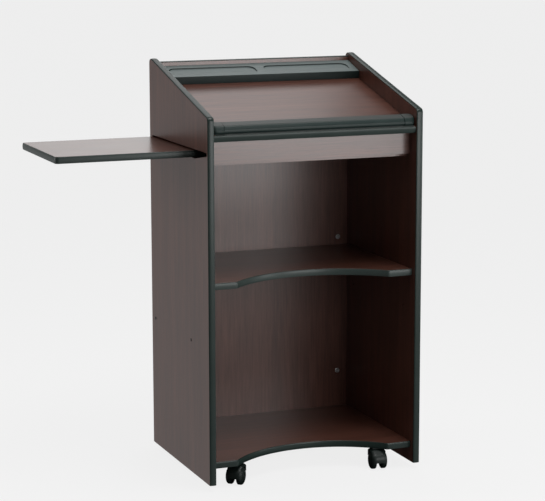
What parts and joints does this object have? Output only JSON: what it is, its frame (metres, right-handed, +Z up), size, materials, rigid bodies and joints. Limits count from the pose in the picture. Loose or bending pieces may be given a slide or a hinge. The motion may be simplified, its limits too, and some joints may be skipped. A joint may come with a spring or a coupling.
{
  "type": "presentation lectern",
  "caption": "Mobile lectern with a sloped reading surface, pencil tray, open shelf bays and a side shelf that slides out, on swivel casters.",
  "frame": {"origin": "on the floor, in the middle of the area that the cabinet and the pulled-out side shelf cover together; the cabinet's own middle is 195.75 mm towards +X", "axes": "+Z up, the open side where the presenter stands faces -Y, +X is the presenter's right, and the side shelf comes out towards -X"},
  "size_m": [1.0326, 0.502, 1.168],
  "materials": {
    "laminate": "low-gloss laminate with a fine straight dark walnut grain",
    "edging": "satin extruded edging, dark green-grey",
    "tray": "satin moulded plastic, mid green-grey",
    "book_stop": "satin extruded plastic, dark green-grey",
    "stained_wood": "sanded hardwood, stained near black",
    "zinc": "bright die-cast zinc",
    "steel": "zinc-plated steel",
    "caster_nylon": "black moulded nylon"
  },
  "bodies": {
    "cabinet": {"left_side_panel": "laminate", "left_side_edging": "edging", "right_side_panel": "laminate", "right_side_edging": "edging", "back_panel": "laminate", "back_panel_edging": "edging", "cam_lock_left_lower": "zinc", "cam_lock_left_upper": "zinc", "cam_lock_right_lower": "zinc", "cam_lock_right_upper": "zinc", "reading_surface": "laminate", "reading_surface_edging": "edging", "book_stop_rail": "book_stop", "book_stop_cap_left": "book_stop", "book_stop_cap_right": "book_stop", "pencil_tray": "tray", "apron": "laminate", "shelf_bay_floor": "laminate", "shelf_guide_front": "stained_wood", "shelf_guide_rear": "stained_wood", "shelf_stop_in": "stained_wood", "middle_shelf": "laminate", "middle_shelf_edging": "edging", "shelf_pin_left_front": "steel", "shelf_pin_left_rear": "steel", "shelf_pin_right_front": "steel", "shelf_pin_right_rear": "steel", "bottom_deck": "laminate", "bottom_deck_edging": "edging", "caster_front_left_plate": "steel", "caster_front_right_plate": "steel", "caster_rear_left_plate": "steel", "caster_rear_right_plate": "steel"},
    "side_shelf": {"side_shelf": "laminate", "side_shelf_edging": "edging", "shelf_stop_out": "stained_wood"},
    "caster_front_left_swivel": {"caster_front_left_hood": "caster_nylon", "caster_front_left_axle": "steel"},
    "caster_front_left_wheel_a": {"caster_front_left_wheel_a": "caster_nylon"},
    "caster_front_left_wheel_b": {"caster_front_left_wheel_b": "caster_nylon"},
    "caster_front_right_swivel": {"caster_front_right_hood": "caster_nylon", "caster_front_right_axle": "steel"},
    "caster_front_right_wheel_a": {"caster_front_right_wheel_a": "caster_nylon"},
    "caster_front_right_wheel_b": {"caster_front_right_wheel_b": "caster_nylon"},
    "caster_rear_left_swivel": {"caster_rear_left_hood": "caster_nylon", "caster_rear_left_axle": "steel"},
    "caster_rear_left_wheel_a": {"caster_rear_left_wheel_a": "caster_nylon"},
    "caster_rear_left_wheel_b": {"caster_rear_left_wheel_b": "caster_nylon"},
    "caster_rear_left_brake": {"caster_rear_left_brake": "caster_nylon"},
    "caster_rear_right_swivel": {"caster_rear_right_hood": "caster_nylon", "caster_rear_right_axle": "steel"},
    "caster_rear_right_wheel_a": {"caster_rear_right_wheel_a": "caster_nylon"},
    "caster_rear_right_wheel_b": {"caster_rear_right_wheel_b": "caster_nylon"},
    "caster_rear_right_brake": {"caster_rear_right_brake": "caster_nylon"}
  },
  "joints": [
    {"name": "side_shelf_slide", "type": "slide", "parent": "cabinet", "child": "side_shelf", "axis": [1, 0, 0], "range_m": [0, 0.384]},
    {"name": "caster_front_left_swivel", "type": "hinge", "parent": "cabinet", "child": "caster_front_left_swivel", "pos_m": [-0.01725, -0.184, 0.057], "axis": [0, 0, 1], "continuous": true},
    {"name": "caster_front_left_roll_a", "type": "hinge", "parent": "caster_front_left_swivel", "child": "caster_front_left_wheel_a", "pos_m": [-0.02906, -0.19759, 0.025], "axis": [0.7547, -0.6561, 0], "continuous": true},
    {"name": "caster_front_left_roll_b", "type": "hinge", "parent": "caster_front_left_swivel", "child": "caster_front_left_wheel_b", "pos_m": [-0.02906, -0.19759, 0.025], "axis": [0.7547, -0.6561, 0], "continuous": true},
    {"name": "caster_front_right_swivel", "type": "hinge", "parent": "cabinet", "child": "caster_front_right_swivel", "pos_m": [0.40875, -0.184, 0.057], "axis": [0, 0, 1], "continuous": true},
    {"name": "caster_front_right_roll_a", "type": "hinge", "parent": "caster_front_right_swivel", "child": "caster_front_right_wheel_a", "pos_m": [0.40656, -0.20187, 0.025], "axis": [0.9925, -0.1219, 0], "continuous": true},
    {"name": "caster_front_right_roll_b", "type": "hinge", "parent": "caster_front_right_swivel", "child": "caster_front_right_wheel_b", "pos_m": [0.40656, -0.20187, 0.025], "axis": [0.9925, -0.1219, 0], "continuous": true},
    {"name": "caster_rear_left_swivel", "type": "hinge", "parent": "cabinet", "child": "caster_rear_left_swivel", "pos_m": [-0.01725, 0.165, 0.057], "axis": [0, 0, 1], "continuous": true},
    {"name": "caster_rear_left_roll_a", "type": "hinge", "parent": "caster_rear_left_swivel", "child": "caster_rear_left_wheel_a", "pos_m": [-0.02281, 0.14788, 0.025], "axis": [0.9511, -0.309, 0], "continuous": true},
    {"name": "caster_rear_left_roll_b", "type": "hinge", "parent": "caster_rear_left_swivel", "child": "caster_rear_left_wheel_b", "pos_m": [-0.02281, 0.14788, 0.025], "axis": [0.9511, -0.309, 0], "continuous": true},
    {"name": "caster_rear_left_brake", "type": "hinge", "parent": "caster_rear_left_swivel", "child": "caster_rear_left_brake", "pos_m": [-0.02856, 0.13019, 0.0436], "axis": [0.9511, -0.309, 0], "range_deg": [0, 14]},
    {"name": "caster_rear_right_swivel", "type": "hinge", "parent": "cabinet", "child": "caster_rear_right_swivel", "pos_m": [0.40875, 0.165, 0.057], "axis": [0, 0, 1], "continuous": true},
    {"name": "caster_rear_right_roll_a", "type": "hinge", "parent": "caster_rear_right_swivel", "child": "caster_rear_right_wheel_a", "pos_m": [0.4131, 0.14753, 0.025], "axis": [0.9703, 0.2419, 0], "continuous": true},
    {"name": "caster_rear_right_roll_b", "type": "hinge", "parent": "caster_rear_right_swivel", "child": "caster_rear_right_wheel_b", "pos_m": [0.4131, 0.14753, 0.025], "axis": [0.9703, 0.2419, 0], "continuous": true},
    {"name": "caster_rear_right_brake", "type": "hinge", "parent": "caster_rear_right_swivel", "child": "caster_rear_right_brake", "pos_m": [0.4176, 0.12949, 0.0436], "axis": [0.9703, 0.2419, 0], "range_deg": [0, 14]}
  ]
}
